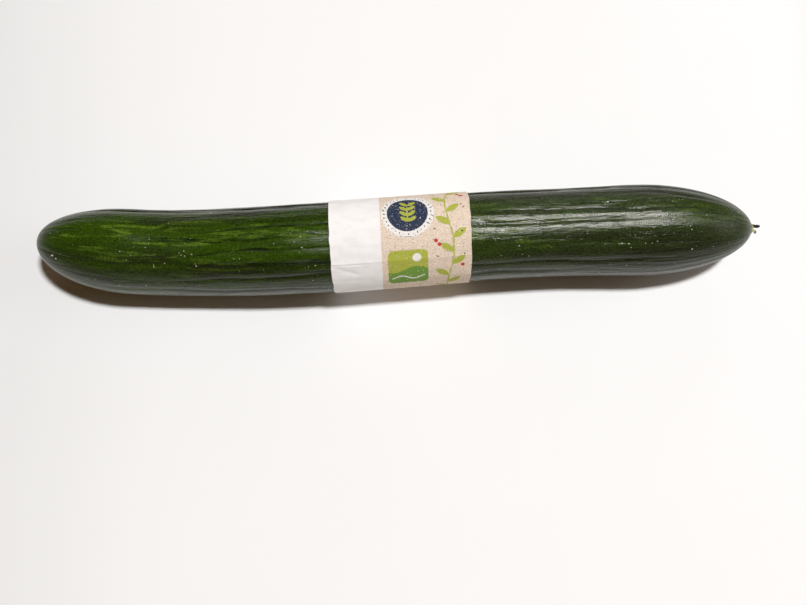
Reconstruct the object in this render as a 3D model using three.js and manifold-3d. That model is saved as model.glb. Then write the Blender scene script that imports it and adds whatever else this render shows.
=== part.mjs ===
// A long slicing cucumber lying on its side, with a printed paper sleeve round its middle
// and the torn remains of its stalk in the scar at one end.
//
// Millimetres, +Z up. +X runs from the rounded blossom end to the pointed stalk end, and -Y is the
// side that the fruit bows towards. The origin is on the surface that the fruit lies on, under the
// middle of its bounding box.
//
// Every cross-section stands square to the fruit's centreline. An angle in it is counted from
// straight up, and grows towards -Y.

import * as THREE from "three";
import Module from "manifold-3d";
import { mergeVertices } from "three/addons/utils/BufferGeometryUtils.js";

// Length and ends
const FRUIT_LENGTH = 350;
const BLOSSOM_X = -177.1;
const STALK_X = BLOSSOM_X + FRUIT_LENGTH;
const BLOSSOM_DOME = 46.4;
const BLOSSOM_DOME_ROOT = 2;
const STALK_DOME = 56;
const STALK_DOME_ROOT = 1.9;

// Radius of the body along X, before the domes, as [x, radius] with smooth steps between
const BODY_RADIUS = [
  [-132, 21.0],
  [-40, 22.1],
  [72, 21.7],
  [122, 22.5],
];

// Height of the lowest crest over the surface, as [x, height]. Where it is below zero, the fruit's
// own weight has pressed a small flat.
const UNDERSIDE = [
  [BLOSSOM_X, 1.0],
  [-96, -0.55],
  [-38, 1.25],
  [38, 1.25],
  [104, -0.6],
  [STALK_X, 0.8],
];

// Sideways bow: nearly all of it is in the half with the blossom end, and the other half sways
// back a little before its tip
const STRAIGHT_Y = 3.44;
const BOW = 7.7;
const BOW_X = -80;
const BOW_REACH_BLOSSOM = 98;
const BOW_REACH_STALK = 176;
const BOW_POWER = 3;
const SWAY = 0.5;
const SWAY_X = 112;
const SWAY_REACH = 36;

// Cross-section: three soft lobes, and furrows that run from end to end between the ribs
const LOBES = 3;
const LOBE_SHARE = 0.008;
const LOBE_ANGLE = THREE.MathUtils.degToRad(90);
const FURROWS = 20;
const FURROW_START = THREE.MathUtils.degToRad(2);
const FURROW_JITTER = THREE.MathUtils.degToRad(3);
const FURROW_WIDTH = THREE.MathUtils.degToRad(4.4);
const FURROW_WANDER = THREE.MathUtils.degToRad(2.2);
const FURROW_WANDER_LENGTH = 34;
const FURROW_SWELL = 0.35;
const FURROW_SWELL_LENGTH = 23;

// Depth of the furrows along X, as [x, depth]: shallower at the blossom end
const FURROW_DEPTH = [
  [-120, 0.26],
  [0, 0.42],
];

// Scar pit at the stalk end, and the torn stalk that stands in it
const GAP = 0.3;
const PIT_RIM_RADIUS = 2.7;
const PIT_RADIUS = 2.4;
const PIT_DEPTH = 0.9;
const FOOT_RADIUS = PIT_RADIUS - GAP;
const COLLAR_HEIGHT = 0.75;
const COLLAR_RADIUS = 1.2;
const COLLAR_SHOULDER = 0.25;

// Paper sleeve, a strip glued into a ring that was stored flat, so it has two sharp folds
const SLEEVE_FROM = -32.8;
const SLEEVE_TO = 33.4;
const SLEEVE_SKEW = 0.95;
const SLEEVE_SKEW_ANGLE = THREE.MathUtils.degToRad(108);
const PAPER = 0.4;
const FOLD_ANGLE = THREE.MathUtils.degToRad(40);
const FOLD_REACH = THREE.MathUtils.degToRad(13);
const LAP_FROM = THREE.MathUtils.degToRad(228);
const LAP_TO = THREE.MathUtils.degToRad(250);
const LAP_STEP = 0.25;

// Mesh density
const FRUIT_SIDES = FURROWS * 5;
const DOME_RINGS = 11;
const BODY_RINGS = 27;
const SLEEVE_SIDES = 72;
const SLEEVE_RINGS = 8;
const FIBRE_SIDES = 7;
const FIBRE_STEPS = 2;
const FOOT_SIDES = 20;

// Finishes
const SKIN = { color: 0x2f4417, roughness: 0.38 };
const PRINTED_PAPER = { color: 0xe6d6c3, roughness: 0.8 };
const DRY_STALK = { color: 0x4a4526, roughness: 0.8 };

// Half the length over which the centreline's direction is taken, and the reach within which
// corners of a fibre count as one point
const HALF_STEP = 0.5;
const WELD = 1e-4;

const TURN = 2 * Math.PI;
const GOLDEN = 0.618034;
const fraction = (value) => value - Math.floor(value);
const smooth = (share) => share * share * (3 - 2 * share);

// The value at x of a list of [x, value], level at each of its points
function along(stations, x) {
  const next = stations.findIndex(([at]) => at >= x);
  if (next < 0) return stations.at(-1)[1];
  if (next === 0) return stations[0][1];
  const [fromX, from] = stations[next - 1];
  const [toX, to] = stations[next];
  return from + (to - from) * smooth((x - fromX) / (toX - fromX));
}

// The share of the body's radius that is left at a distance from a tip
function dome(distance, length, root) {
  const outside = 1 - Math.min(Math.max(distance / length, 0), 1);
  return Math.pow(1 - outside * outside, 1 / root);
}

// Centreline
function bow(x) {
  const away = x - BOW_X;
  if (away < 0) return 1 - Math.pow(-away / BOW_REACH_BLOSSOM, BOW_POWER);
  return 0.5 + 0.5 * Math.cos(Math.PI * Math.min(away / BOW_REACH_STALK, 1));
}

function centre(x) {
  const sway = SWAY * Math.exp(-Math.pow((x - SWAY_X) / SWAY_REACH, 2));
  const y = STRAIGHT_Y - BOW * bow(x) + sway;
  return new THREE.Vector3(x, y, along(UNDERSIDE, x) + along(BODY_RADIUS, x));
}

// The two directions that span the cross-section at x: up, and towards -Y
function section(x) {
  const ahead = centre(x + HALF_STEP).sub(centre(x - HALF_STEP)).normalize();
  const front = new THREE.Vector3(0, 0, 1).cross(ahead).negate().normalize();
  const up = front.clone().cross(ahead);
  return { middle: centre(x), up, front };
}

function onSection({ middle, up, front }, radius, angle) {
  return middle
    .clone()
    .addScaledVector(up, radius * Math.cos(angle))
    .addScaledVector(front, radius * Math.sin(angle));
}

// Depth of the furrows, as a share of the deepest
function furrows(x, angle) {
  let sum = 0;
  for (let i = 0; i < FURROWS; i++) {
    const seed = TURN * fraction(i * GOLDEN);
    const wander = FURROW_WANDER * Math.sin(x / FURROW_WANDER_LENGTH + seed);
    const place = FURROW_START + (i * TURN) / FURROWS + FURROW_JITTER * Math.sin(3 * seed) + wander;
    const away = Math.atan2(Math.sin(angle - place), Math.cos(angle - place)) / FURROW_WIDTH;
    const swell = 1 - FURROW_SWELL + FURROW_SWELL * Math.sin(x / FURROW_SWELL_LENGTH + 2 * seed);
    sum += swell * Math.exp(-away * away);
  }
  return sum;
}

// Radius over the crests of the ribs
function crestRadius(x, angle) {
  return along(BODY_RADIUS, x) * (1 + LOBE_SHARE * Math.cos(LOBES * (angle - LOBE_ANGLE)));
}

function fruitRadius(x, angle) {
  const taper =
    dome(x - BLOSSOM_X, BLOSSOM_DOME, BLOSSOM_DOME_ROOT) *
    dome(STALK_X - x, STALK_DOME, STALK_DOME_ROOT);
  return taper * (crestRadius(x, angle) - along(FURROW_DEPTH, x) * furrows(x, angle));
}

// Where the stalk dome has narrowed to the rim of the pit
const PIT_RIM_X =
  STALK_X -
  STALK_DOME *
    (1 - Math.sqrt(1 - Math.pow(PIT_RIM_RADIUS / along(BODY_RADIUS, STALK_X), STALK_DOME_ROOT)));

// Meshes from rings of points

// One closed surface from rings that all have the same number of points. With two poles the ends
// are closed to a point each, and without them the last ring joins the first.
function shell(rings, poles) {
  const sides = rings[0].length;
  const points = rings.flat();
  const index = [];
  const bands = poles ? rings.length - 1 : rings.length;
  for (let r = 0; r < bands; r++) {
    const here = r * sides;
    const there = ((r + 1) % rings.length) * sides;
    for (let s = 0; s < sides; s++) {
      const t = (s + 1) % sides;
      index.push(here + s, there + t, there + s, here + s, here + t, there + t);
    }
  }
  if (poles) {
    const first = points.push(poles[0]) - 1;
    const last = points.push(poles[1]) - 1;
    const end = (rings.length - 1) * sides;
    for (let s = 0; s < sides; s++) {
      const t = (s + 1) % sides;
      index.push(first, t, s, last, end + s, end + t);
    }
  }
  const geometry = new THREE.BufferGeometry().setFromPoints(points);
  geometry.setIndex(index);
  geometry.computeVertexNormals();
  return geometry;
}

const angles = (sides) => Array.from({ length: sides }, (_, s) => (s * TURN) / sides);

// Fruit
function fruitStations() {
  const stations = [];
  const bodyFrom = BLOSSOM_X + BLOSSOM_DOME;
  const bodyTo = STALK_X - STALK_DOME;
  for (let i = 1; i < DOME_RINGS; i++) {
    stations.push(BLOSSOM_X + BLOSSOM_DOME * (1 - Math.cos((i / DOME_RINGS) * (Math.PI / 2))));
  }
  for (let i = 0; i <= BODY_RINGS; i++) {
    stations.push(bodyFrom + ((bodyTo - bodyFrom) * i) / BODY_RINGS);
  }
  for (let i = DOME_RINGS - 1; i > 0; i--) {
    stations.push(STALK_X - STALK_DOME * (1 - Math.cos((i / DOME_RINGS) * (Math.PI / 2))));
  }
  return stations;
}

function ring(x, sides, radiusAt) {
  const here = section(x);
  return angles(sides).map((angle) => onSection(here, radiusAt(x, angle), angle));
}

function buildFruit() {
  const rings = fruitStations().map((x) => ring(x, FRUIT_SIDES, fruitRadius));
  rings.push(ring(PIT_RIM_X, FRUIT_SIDES, () => PIT_RIM_RADIUS));
  rings.push(ring(PIT_RIM_X, FRUIT_SIDES, () => PIT_RADIUS));
  rings.push(ring(PIT_RIM_X - PIT_DEPTH, FRUIT_SIDES, () => PIT_RADIUS));
  for (const point of rings.flat()) point.z = Math.max(point.z, 0);
  return shell(rings, [centre(BLOSSOM_X), centre(PIT_RIM_X - PIT_DEPTH)]);
}

// Paper sleeve
function foldLift(angle) {
  const fromFold = Math.abs(Math.asin(Math.sin(angle - FOLD_ANGLE)));
  return 1 / Math.cos(Math.max(FOLD_REACH - fromFold, 0));
}

function buildSleeve() {
  const inner = (x, angle) => (crestRadius(x, angle) + GAP) * foldLift(angle);
  const outer = (x, angle) => {
    const lapped = angle > LAP_FROM && angle < LAP_TO;
    return inner(x, angle) + PAPER + (lapped ? LAP_STEP : 0);
  };
  // The sleeve's end towards the stalk was cut a little askew
  const sleeveRing = (share, radiusAt) =>
    angles(SLEEVE_SIDES).map((angle) => {
      const end = SLEEVE_TO - SLEEVE_SKEW * Math.cos(angle - SLEEVE_SKEW_ANGLE);
      const x = SLEEVE_FROM + (end - SLEEVE_FROM) * share;
      return onSection(section(x), radiusAt(x, angle), angle);
    });
  const shares = Array.from({ length: SLEEVE_RINGS }, (_, i) => i / (SLEEVE_RINGS - 1));
  const outside = shares.map((share) => sleeveRing(share, outer));
  const inside = shares.map((share) => sleeveRing(share, inner)).reverse();
  return shell([...outside, ...inside]);
}

// Torn stalk: a foot in the pit, a long fibre, a short hooked one, and a stump between them

// A tapered tube through [x, y, z, radius] points, in the pit's own directions
function fibre(points) {
  const curve = new THREE.CatmullRomCurve3(points.map(([x, y, z]) => new THREE.Vector3(x, y, z)));
  const steps = (points.length - 1) * FIBRE_STEPS;
  const frames = curve.computeFrenetFrames(steps, false);
  const rings = [];
  for (let i = 0; i <= steps; i++) {
    const share = (i / steps) * (points.length - 1);
    const before = Math.min(Math.floor(share), points.length - 2);
    const radius = THREE.MathUtils.lerp(points[before][3], points[before + 1][3], share - before);
    const middle = curve.getPoint(i / steps);
    rings.push(
      angles(FIBRE_SIDES).map((angle) =>
        middle
          .clone()
          .addScaledVector(frames.normals[i], radius * Math.cos(angle))
          .addScaledVector(frames.binormals[i], radius * Math.sin(angle)),
      ),
    );
  }
  return shell(rings, [curve.getPoint(0), curve.getPoint(1)]);
}

const FOOT_PROFILE = [
  [0, GAP - PIT_DEPTH],
  [FOOT_RADIUS, GAP - PIT_DEPTH],
  [FOOT_RADIUS, 0],
  [FOOT_RADIUS - COLLAR_SHOULDER, COLLAR_HEIGHT - COLLAR_SHOULDER],
  [COLLAR_RADIUS, COLLAR_HEIGHT],
  [0, COLLAR_HEIGHT - COLLAR_SHOULDER],
];

// Each fibre as [x, y, z, radius] from the middle of the pit's rim
const LONG_FIBRE = [
  [0.2, 0.8, 0.15, 0.95],
  [1.7, 1.0, 0.3, 0.84],
  [3.4, 0.95, 0.25, 0.74],
  [4.8, 1.1, 0.1, 0.62],
];
const HOOKED_FIBRE = [
  [0.2, -0.85, 0.05, 0.8],
  [1.4, -1.05, 0.0, 0.7],
  [2.4, -1.6, -0.25, 0.58],
  [2.35, -2.4, -0.6, 0.42],
];
const STUMP = [
  [0.1, 0.1, -0.9, 0.75],
  [0.8, 0.15, -1.15, 0.6],
  [1.35, 0.1, -1.3, 0.4],
];

async function buildStalk() {
  const wasm = await Module();
  wasm.setup();
  const solid = (geometry) => {
    geometry.deleteAttribute("normal");
    geometry.deleteAttribute("uv");
    const merged = mergeVertices(geometry, WELD);
    return new wasm.Manifold(
      new wasm.Mesh({
        numProp: 3,
        vertProperties: merged.attributes.position.array,
        triVerts: new Uint32Array(merged.index.array),
      }),
    );
  };
  const foot = new THREE.LatheGeometry(
    FOOT_PROFILE.map(([radius, height]) => new THREE.Vector2(radius, height)),
    FOOT_SIDES,
  ).rotateZ(-Math.PI / 2);
  const joined = [LONG_FIBRE, HOOKED_FIBRE, STUMP]
    .map((points) => solid(fibre(points)))
    .reduce((whole, piece) => whole.add(piece), solid(foot))
    .getMesh();
  const geometry = new THREE.BufferGeometry();
  geometry.setAttribute("position", new THREE.BufferAttribute(joined.vertProperties, 3));
  geometry.setIndex(new THREE.BufferAttribute(joined.triVerts, 1));
  geometry.computeVertexNormals();
  return geometry;
}

// Assembly
function named(name, geometry, finish) {
  const mesh = new THREE.Mesh(geometry, new THREE.MeshStandardMaterial(finish));
  mesh.name = name;
  return mesh;
}

const fruit = named("fruit", buildFruit(), SKIN);
const sleeve = named("paper_sleeve", buildSleeve(), PRINTED_PAPER);
const stalk = named("stalk_remnant", await buildStalk(), DRY_STALK);
stalk.position.copy(centre(PIT_RIM_X));

const cucumber = new THREE.Group();
cucumber.name = "cucumber";
cucumber.add(fruit, sleeve, stalk);

export default cucumber;
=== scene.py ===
"""A long cucumber in a printed paper sleeve: its skin, spine scars, sleeve and torn stalk.

Shapes are worked out in millimetres, in the solid model's own frame: +Z up, +X towards the stalk
end, -Y towards the viewer. An angle in a cross-section is counted from straight up, and grows
towards -Y. Meshes are in metres."""

import math

import bpy
import numpy as np
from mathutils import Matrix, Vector


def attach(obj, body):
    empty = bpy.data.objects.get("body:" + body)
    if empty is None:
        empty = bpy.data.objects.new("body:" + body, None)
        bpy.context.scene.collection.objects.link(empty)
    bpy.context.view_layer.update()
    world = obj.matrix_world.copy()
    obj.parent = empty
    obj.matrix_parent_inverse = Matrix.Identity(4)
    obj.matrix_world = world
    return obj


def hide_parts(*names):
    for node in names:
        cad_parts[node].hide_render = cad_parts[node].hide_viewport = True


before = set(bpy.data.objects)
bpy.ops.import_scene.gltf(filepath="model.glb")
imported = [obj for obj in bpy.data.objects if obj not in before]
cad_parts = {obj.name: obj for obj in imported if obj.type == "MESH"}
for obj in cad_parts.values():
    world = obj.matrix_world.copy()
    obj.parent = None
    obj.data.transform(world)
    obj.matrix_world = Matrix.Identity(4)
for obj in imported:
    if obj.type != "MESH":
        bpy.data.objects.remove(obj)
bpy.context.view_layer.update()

MM = 0.001
TURN = 2 * math.pi

# Fruit, as in the solid model
FRUIT_LENGTH = 350
BLOSSOM_X = -177.1
STALK_X = BLOSSOM_X + FRUIT_LENGTH
BLOSSOM_DOME = 46.4
BLOSSOM_DOME_ROOT = 2
STALK_DOME = 56
STALK_DOME_ROOT = 1.9
BODY_RADIUS = [(-132, 21.0), (-40, 22.1), (72, 21.7), (122, 22.5)]
BLOSSOM_RADIUS = BODY_RADIUS[0][1]
MIDDLE_RADIUS = BODY_RADIUS[1][1]
STALK_RADIUS = BODY_RADIUS[-1][1]
UNDERSIDE = [(BLOSSOM_X, 1.0), (-96, -0.55), (-38, 1.25), (38, 1.25), (104, -0.6), (STALK_X, 0.8)]
STRAIGHT_Y = 3.44
BOW = 7.7
BOW_X = -80
BOW_REACH_BLOSSOM = 98
BOW_REACH_STALK = 176
BOW_POWER = 3
SWAY = 0.5
SWAY_X = 112
SWAY_REACH = 36
LOBES = 3
LOBE_SHARE = 0.008
LOBE_ANGLE = math.radians(90)
FURROWS = 20
FURROW_START = math.radians(2)
FURROW_JITTER = math.radians(3)
FURROW_WIDTH = math.radians(4.4)
FURROW_DEPTH = [(-120, 0.26), (0, 0.42)]
FURROW_WANDER = math.radians(2.2)
FURROW_WANDER_LENGTH = 34
FURROW_SWELL = 0.35
FURROW_SWELL_LENGTH = 23
GOLDEN = 0.618034

# Pit of the stalk, with its lip, wall and floor as (x behind the rim, radius)
PIT_RIM_RADIUS = 2.7
PIT_SHAPE = [(-0.3, 2.66), (-0.5, 2.56), (-0.42, 2.44), (0, 2.4), (0.9, 2.3)]

# Finer relief of the skin: a narrow groove along each furrow, short waves of the furrows, thin
# creases that come and go along the ribs, and wrinkles as (length of a cell, cells round the
# fruit, depth)
GROOVE_WIDTH = math.radians(1.7)
GROOVE_DEPTH = 0.16
FURROW_RIPPLE = math.radians(1.3)
FURROW_RIPPLE_LENGTH = 8
CREASES = 32
CREASE_WIDTH = math.radians(1.3)
CREASE_DEPTH = 0.12
CREASE_WANDER = math.radians(2.8)
CREASE_WANDER_LENGTH = 19
CREASE_RIPPLE = math.radians(1.1)
CREASE_RIPPLE_LENGTH = 6.7
CREASE_SWELL_LENGTH = 27
WRINKLES = [(26, 44, 0.13), (10, 70, 0.09), (4.0, 110, 0.06)]
NOISE_MARGIN = 5
RIB_SHADE_LENGTH = 34
RIB_SHADE_SEED = 41

# The grooves and creases fade towards both tips, each fade with a reach and the share that is left
# at its tip, which goes on unchanged for a little way at the blossom end
BLOSSOM_BARE = 6
BLOSSOM_FADE = 150
BLOSSOM_SHARE = 0.15
STALK_FADE = 45
STALK_SHARE = 0.25

# Where the furrows are deeper or shallower than elsewhere, as (degrees, width in degrees, added
# share): on top of the stalk half, and along the far side
STALK_HALF_FROM = -10
STALK_HALF_FADE = 60
UNEVEN_STALK_HALF = [(20, 23, -0.85)]
UNEVEN = [(-57, 9, 1.3), (-35, 9, -0.6)]

# Dents that the photo shows, as (x, degrees) at both ends, depth and width. Each is even up to a
# share of its length to either side of its middle, and fades beyond that.
DENT_EVEN = 0.35
DENT_FADE = 0.15
DENTS = [
    ((40, 4), (128, 2), 0.30, 3.3),
    ((40, 4), (112, 2.5), 0.28, 1.1),
    ((34, -8), (50, 11), 0.22, 1.0),
    ((56, 10), (75, 6), 0.12, 1.2),
    ((56, -15), (110, -16), 0.42, 2.4),
    ((98, -17), (152, -19), 0.40, 2.4),
    ((46, 27), (150, 25), 0.35, 3.6),
    ((-150, -56), (-90, -46), 0.30, 0.8),
    ((-105, -58), (-45, -48), 0.30, 0.8),
    ((-62, -56), (-20, -49), 0.26, 0.8),
    ((40, -56), (98, -47), 0.26, 0.8),
    ((82, -58), (145, -48), 0.26, 0.8),
    ((-128, 12), (-64, 17), 0.12, 1.8),
    ((-86, 37), (-36, 40), 0.14, 1.8),
]

# Dark lines between the pale streaks of the blossom half, in the same form
DARK_LINE_DEPTH = 0.16
DARK_LINES = [
    ((-120, -1), (-84, 3), DARK_LINE_DEPTH, 0.8),
    ((-90, 4), (-36, 0), DARK_LINE_DEPTH, 0.8),
    ((-98, 20), (-60, 15), DARK_LINE_DEPTH, 0.7),
    ((-68, 15), (-34, 19), DARK_LINE_DEPTH, 0.7),
    ((-94, 34), (-34, 36), DARK_LINE_DEPTH, 1.0),
]

# Sleeve, as in the solid model, but of thin paper
SLEEVE_FROM = -32.8
SLEEVE_TO = 33.4
SLEEVE_SKEW = 0.95
SLEEVE_SKEW_ANGLE = math.radians(108)
SLEEVE_CLEARANCE = 0.24
PAPER = 0.13
FOLD_ANGLE = math.radians(40)
FOLD_REACH = math.radians(13)
FOLD_NARROWING = 0.45
LAP_FROM = math.radians(228)
LAP_TO = math.radians(250)
LAP_RISE = 0.2
LAP_GAP = 0.06
WHITE_WIDTH = 24.0
PRINT_SKEW = 0.6

# Mesh density, with the fruit's columns closer together round one angle
FRUIT_SIDES = 330
CLOSEST_ANGLE = math.radians(15)
CLOSER = 0.35
DOME_RINGS = 48
BODY_RINGS = 195
SLEEVE_COLUMNS = 330
SLEEVE_ROWS = 80


# Formulas


def smooth(share):
    return share * share * (3 - 2 * share)


def eased(share):
    return smooth(np.clip(share, 0, 1))


def bell(distance, width):
    return np.exp(-((distance / width) ** 2))


def along(stations, x):
    """The value at x of a list of (x, value), level at each of its points."""
    places, values = np.array(stations, float).T
    x = np.clip(x, places[0], places[-1])
    after = np.clip(np.searchsorted(places, x), 1, len(places) - 1)
    share = (x - places[after - 1]) / (places[after] - places[after - 1])
    return values[after - 1] + (values[after] - values[after - 1]) * smooth(share)


def dome(distance, length, root):
    """The share of the body's radius that is left at a distance from a tip."""
    outside = 1 - np.clip(distance / length, 0, 1)
    return (1 - outside**2) ** (1 / root)


def cell_noise(length_cells, round_cells, columns, seed):
    """Smooth noise from -1 to 1, a cell to each unit, which closes after so many columns."""
    rows = int(np.max(length_cells)) + 2
    knots = np.random.default_rng(seed).uniform(-1, 1, (rows, columns))
    row = np.floor(length_cells).astype(int)
    column = np.floor(round_cells).astype(int)
    ahead = smooth(length_cells - row)
    beside = smooth(round_cells - column)

    def knot(row_step, column_step):
        return knots[row + row_step, (column + column_step) % columns]

    near = knot(0, 0) * (1 - ahead) + knot(1, 0) * ahead
    far = knot(0, 1) * (1 - ahead) + knot(1, 1) * ahead
    return near * (1 - beside) + far * beside


def skin_noise(x, angle, cell, columns, seed):
    """Noise on the skin, in cells of a length, with so many of them round the fruit."""
    length_cells = (x - BLOSSOM_X + NOISE_MARGIN) / cell
    return cell_noise(length_cells, (angle / TURN % 1) * columns, columns, seed)


# The fruit's form


def centre(x):
    away = x - BOW_X
    towards_blossom = 1 - np.abs(np.minimum(away, 0) / BOW_REACH_BLOSSOM) ** BOW_POWER
    towards_stalk = 0.5 + 0.5 * np.cos(np.pi * np.clip(away / BOW_REACH_STALK, 0, 1))
    bow = np.where(away < 0, towards_blossom, towards_stalk)
    y = STRAIGHT_Y - BOW * bow + SWAY * bell(x - SWAY_X, SWAY_REACH)
    return np.stack([x, y, along(UNDERSIDE, x) + along(BODY_RADIUS, x)], -1)


def on_section(x, radius, angle):
    """Points at a radius and an angle in the cross-sections at x."""
    x, radius, angle = np.broadcast_arrays(np.asarray(x, float), radius, angle)
    ahead = centre(x + 0.5) - centre(x - 0.5)
    ahead /= np.linalg.norm(ahead, axis=-1, keepdims=True)
    front = np.cross(ahead, (0, 0, 1))
    front /= np.linalg.norm(front, axis=-1, keepdims=True)
    up = np.cross(front, ahead)
    spoke = up * np.cos(angle)[..., None] + front * np.sin(angle)[..., None]
    return centre(x) + spoke * radius[..., None]


def seed_of(i):
    """A phase for each of a row of like things, spread evenly over a turn."""
    return TURN * (i * GOLDEN % 1)


def turn_from(angle, place):
    away = angle - place
    return np.arctan2(np.sin(away), np.cos(away))


def furrow_place(i, x):
    seed = seed_of(i)
    wander = FURROW_WANDER * np.sin(x / FURROW_WANDER_LENGTH + seed)
    ripple = FURROW_RIPPLE * np.sin(x / FURROW_RIPPLE_LENGTH + 4 * seed)
    even = FURROW_START + i * TURN / FURROWS
    return even + FURROW_JITTER * np.sin(3 * seed) + wander + ripple


def furrows(x, angle, width=FURROW_WIDTH):
    total = 0
    for i in range(FURROWS):
        swell = np.sin(x / FURROW_SWELL_LENGTH + 2 * seed_of(i))
        depth = 1 - FURROW_SWELL + FURROW_SWELL * swell
        total = total + depth * bell(turn_from(angle, furrow_place(i, x)), width)
    return total


def creases(x, angle):
    total = 0
    for i in range(CREASES):
        seed = seed_of(i)
        wander = CREASE_WANDER * np.sin(x / CREASE_WANDER_LENGTH + seed)
        ripple = CREASE_RIPPLE * np.sin(x / CREASE_RIPPLE_LENGTH + 3 * seed)
        away = turn_from(angle, i * TURN / CREASES + wander + ripple)
        strength = eased(0.5 + np.sin(x / CREASE_SWELL_LENGTH + 5 * seed))
        total = total + strength * bell(away, CREASE_WIDTH)
    return total


def rib_shades(x, angle):
    """How pale each rib is, from 0 to 1, changing slowly along it and suddenly at its furrows."""
    length_cells = (x - BLOSSOM_X + NOISE_MARGIN) / RIB_SHADE_LENGTH
    total = 0
    for i in range(FURROWS):
        after = turn_from(angle, furrow_place(i, x))
        before = turn_from(angle, furrow_place((i + 1) % FURROWS, x))
        inside = (after >= 0) & (before < 0) & (after - before < math.pi)
        pale = cell_noise(length_cells, i + 0 * x, FURROWS, RIB_SHADE_SEED)
        total = total + inside * (0.5 + 0.5 * pale)
    return total


def dents(x, angle, places, ripple=0.0):
    """Depth of a list of dents, each a straight line or one with small waves."""
    total = 0
    for (from_x, from_angle), (to_x, to_angle), depth, width in places:
        share = (x - from_x) / (to_x - from_x)
        line = math.radians(from_angle) + math.radians(to_angle - from_angle) * share
        line = line + ripple * np.sin(x / FURROW_RIPPLE_LENGTH + from_angle)
        across = turn_from(angle, line) * MIDDLE_RADIUS
        past = np.maximum(np.abs(share - 0.5) - DENT_EVEN, 0)
        total = total + depth * bell(across, width) * bell(past, DENT_FADE)
    return total


def dark_lines(x, angle):
    return dents(x, angle, DARK_LINES, FURROW_RIPPLE)


def furrow_share(x, angle):
    """Depth of the furrows and lines against their usual depth."""
    in_stalk_half = eased((x - STALK_HALF_FROM) / STALK_HALF_FADE)
    share = 1
    for places, reach in ((UNEVEN, 1), (UNEVEN_STALK_HALF, in_stalk_half)):
        for degrees, width, added in places:
            away = turn_from(angle, math.radians(degrees))
            share = share + added * reach * bell(away, math.radians(width))
    return share


def crest_radius(x, angle):
    return along(BODY_RADIUS, x) * (1 + LOBE_SHARE * np.cos(LOBES * (angle - LOBE_ANGLE)))


def taper(x):
    """The share of the body's radius that both tips leave."""
    return dome(x - BLOSSOM_X, BLOSSOM_DOME, BLOSSOM_DOME_ROOT) * dome(
        STALK_X - x, STALK_DOME, STALK_DOME_ROOT
    )


def line_strength(x):
    """The share of the grooves and creases that is left, which fade out at both tips."""
    from_blossom = eased((x - BLOSSOM_X - BLOSSOM_BARE) / BLOSSOM_FADE)
    from_stalk = eased((STALK_X - x) / STALK_FADE)
    left_at_blossom = BLOSSOM_SHARE + (1 - BLOSSOM_SHARE) * from_blossom
    left_at_stalk = STALK_SHARE + (1 - STALK_SHARE) * from_stalk
    return left_at_blossom * left_at_stalk


def skin_radius(x, angle):
    lines = GROOVE_DEPTH * furrows(x, angle, GROOVE_WIDTH) + CREASE_DEPTH * creases(x, angle)
    hollows = along(FURROW_DEPTH, x) * furrows(x, angle) + line_strength(x) * lines
    radius = crest_radius(x, angle) - furrow_share(x, angle) * hollows
    radius = radius - dents(x, angle, DENTS) - dark_lines(x, angle)
    for seed, (cell, columns, depth) in enumerate(WRINKLES):
        radius = radius - depth * (0.5 + 0.5 * skin_noise(x, angle, cell, columns, seed))
    return taper(x) * radius


def skin_point(x, angle, lift=0.0):
    return on_section(x, skin_radius(x, angle) + lift, angle)


PIT_RIM_X = STALK_X - STALK_DOME * (
    1 - math.sqrt(1 - (PIT_RIM_RADIUS / STALK_RADIUS) ** STALK_DOME_ROOT)
)
PIT_CENTRE = centre(np.array(PIT_RIM_X))
BLOSSOM_TIP = centre(np.array(float(BLOSSOM_X)))


# Meshes


def add_mesh(name, points, faces, material):
    """A smooth-shaded piece from points in millimetres. It rides on the part's one body."""
    mesh = bpy.data.meshes.new(name)
    mesh.from_pydata((points * MM).tolist(), [], faces)
    mesh.materials.append(material)
    mesh.shade_smooth()
    piece = bpy.data.objects.new(name, mesh)
    bpy.context.scene.collection.objects.link(piece)
    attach(piece, "root")
    return piece


def set_attribute(piece, name, values):
    kind = "FLOAT" if values.ndim == 1 else "FLOAT_VECTOR"
    field = "value" if values.ndim == 1 else "vector"
    attribute = piece.data.attributes.new(name, kind, "POINT")
    attribute.data.foreach_set(field, values.astype(np.float32).ravel())


def ring_faces(rings, sides):
    """Quads over rings of points, which turn from up towards -Y as seen along +X."""
    faces = []
    for r in range(rings - 1):
        for s in range(sides):
            t = (s + 1) % sides
            faces.append((r * sides + s, r * sides + t, (r + 1) * sides + t, (r + 1) * sides + s))
    return faces


def sheet_faces(rows, across, start=0):
    """Quads over rows of points that don't close into rings."""
    faces = []
    for r in range(rows - 1):
        for c in range(across - 1):
            corner = start + r * across + c
            faces.append((corner, corner + 1, corner + across + 1, corner + across))
    return faces


def closed_faces(rings, sides):
    """Quads over rings and a fan over each end, to two points that come after the rings."""
    faces = ring_faces(rings, sides)
    first = rings * sides
    end = (rings - 1) * sides
    for s in range(sides):
        t = (s + 1) % sides
        faces.append((first, t, s))
        faces.append((first + 1, end + s, end + t))
    return faces


# Materials


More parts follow.
